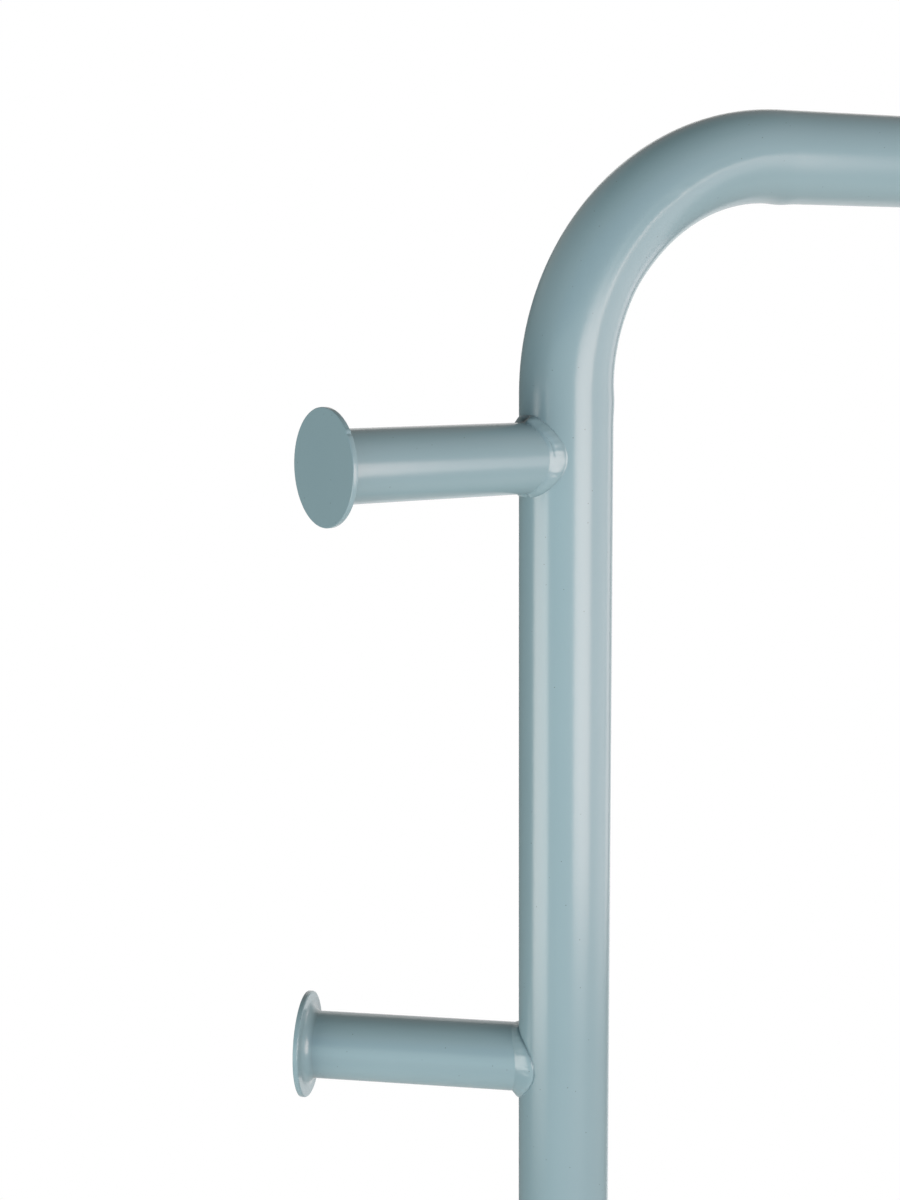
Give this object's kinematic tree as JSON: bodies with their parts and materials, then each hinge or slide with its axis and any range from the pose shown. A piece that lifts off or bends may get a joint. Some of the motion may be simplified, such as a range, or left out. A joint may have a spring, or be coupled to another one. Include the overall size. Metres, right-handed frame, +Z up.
{
  "type": "valet stand",
  "caption": "Floor-standing valet stand: an arched hoop of round steel tube with coat pegs tipped by discs, a trouser rail and a low shoe rack, on screw-in glides.",
  "frame": {"origin": "on the floor, midway between the uprights", "axes": "+Z up, +X towards the right-hand upright seen from the front, +Y towards the back"},
  "size_m": [0.5774, 0.36, 1.15],
  "materials": {
    "powder_coat": "satin powder coat, pale grey-blue, fine orange peel",
    "zinc_plated_steel": "bright zinc plate",
    "glide_plastic": "matt moulded nylon",
    "plug_plastic": "matt moulded polyethylene"
  },
  "bodies": {
    "frame": {"hoop_tube": "powder_coat", "floor_loop": "powder_coat", "trouser_rail": "powder_coat", "trouser_rail_left_weld": "powder_coat", "trouser_rail_right_weld": "powder_coat", "left_upper_peg_tube": "powder_coat", "left_upper_peg_disc": "powder_coat", "left_upper_peg_root_weld": "powder_coat", "left_upper_peg_disc_weld": "powder_coat", "left_lower_peg_tube": "powder_coat", "left_lower_peg_disc": "powder_coat", "left_lower_peg_root_weld": "powder_coat", "left_lower_peg_disc_weld": "powder_coat", "right_upper_peg_tube": "powder_coat", "right_upper_peg_disc": "powder_coat", "right_upper_peg_root_weld": "powder_coat", "right_upper_peg_disc_weld": "powder_coat", "right_lower_peg_tube": "powder_coat", "right_lower_peg_disc": "powder_coat", "right_lower_peg_root_weld": "powder_coat", "right_lower_peg_disc_weld": "powder_coat", "shoe_rack_rod_1": "powder_coat", "shoe_rack_rod_2": "powder_coat", "shoe_rack_rod_3": "powder_coat", "shoe_rack_rod_4": "powder_coat", "shoe_rack_rod_5": "powder_coat", "shoe_rack_rod_6": "powder_coat", "shoe_rack_left_welds": "powder_coat", "shoe_rack_right_welds": "powder_coat", "left_leg_insert": "zinc_plated_steel", "left_leg_bolt": "zinc_plated_steel", "left_saddle_washer": "zinc_plated_steel", "right_leg_insert": "zinc_plated_steel", "right_leg_bolt": "zinc_plated_steel", "right_saddle_washer": "zinc_plated_steel", "front_left_rivet_nut": "zinc_plated_steel", "front_right_rivet_nut": "zinc_plated_steel", "back_left_rivet_nut": "zinc_plated_steel", "back_right_rivet_nut": "zinc_plated_steel", "left_access_plug": "plug_plastic", "right_access_plug": "plug_plastic"},
    "front_left_glide": {"front_left_glide_pad": "glide_plastic", "front_left_glide_stud": "zinc_plated_steel"},
    "front_right_glide": {"front_right_glide_pad": "glide_plastic", "front_right_glide_stud": "zinc_plated_steel"},
    "back_left_glide": {"back_left_glide_pad": "glide_plastic", "back_left_glide_stud": "zinc_plated_steel"},
    "back_right_glide": {"back_right_glide_pad": "glide_plastic", "back_right_glide_stud": "zinc_plated_steel"}
  },
  "joints": [
    {"name": "front_left_glide_screw", "type": "slide", "parent": "frame", "child": "front_left_glide", "axis": [0, 0, -1], "range_m": [0, 0.006]},
    {"name": "front_right_glide_screw", "type": "slide", "parent": "frame", "child": "front_right_glide", "axis": [0, 0, -1], "range_m": [0, 0.006]},
    {"name": "back_left_glide_screw", "type": "slide", "parent": "frame", "child": "back_left_glide", "axis": [0, 0, -1], "range_m": [0, 0.006]},
    {"name": "back_right_glide_screw", "type": "slide", "parent": "frame", "child": "back_right_glide", "axis": [0, 0, -1], "range_m": [0, 0.006]}
  ]
}
